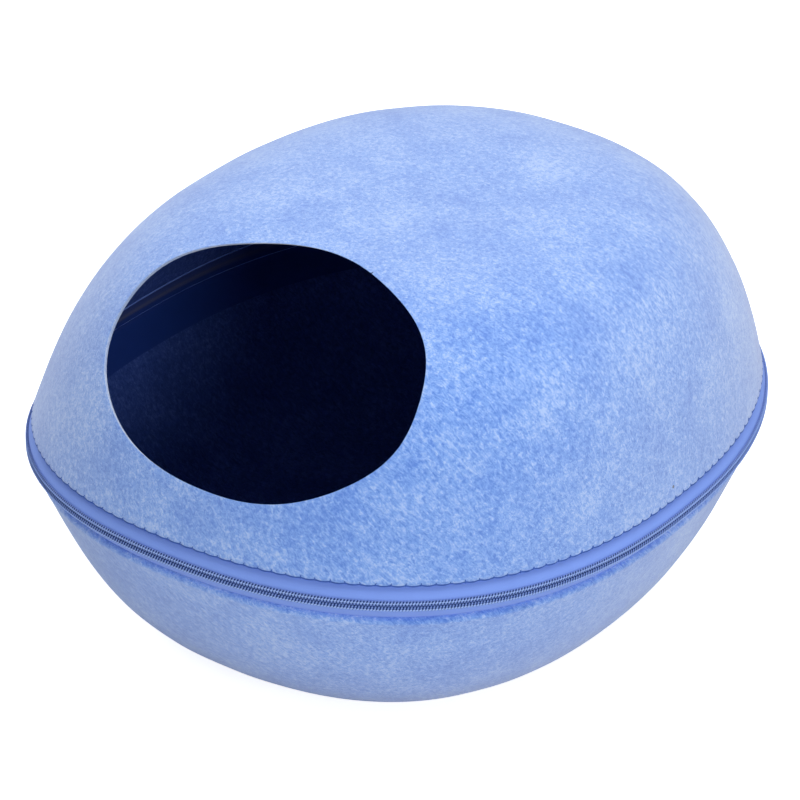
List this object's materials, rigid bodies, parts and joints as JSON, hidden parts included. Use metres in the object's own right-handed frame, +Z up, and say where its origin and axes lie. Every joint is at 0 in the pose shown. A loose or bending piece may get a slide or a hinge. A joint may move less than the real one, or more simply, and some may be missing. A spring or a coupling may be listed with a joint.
{
  "type": "felt cat cave",
  "caption": "Rounded felt cat cave: a moulded dome with an oval entry joined to a flat-based bowl by a coil zip all round.",
  "frame": {"origin": "middle of the whole length and width, on the floor under the flat base", "axes": "+Z up, entry facing -Y, +Y towards the back where the zip's ends meet"},
  "size_m": [0.3962, 0.465, 0.2749],
  "materials": {
    "felt": "matt light blue pressed felt with mottled fibres",
    "zip_tape": "woven blue zip tape",
    "zip_coil": "blue moulded coil, satin",
    "slider": "blue lacquered slider, satin"
  },
  "bodies": {
    "root": {"upper_shell": "felt", "lower_shell": "felt", "upper_zip_tape": "zip_tape", "lower_zip_tape": "zip_tape", "upper_zip_coil": "zip_coil", "lower_zip_coil": "zip_coil", "zip_slider": "slider", "zip_pull": "zip_tape"}
  },
  "joints": []
}
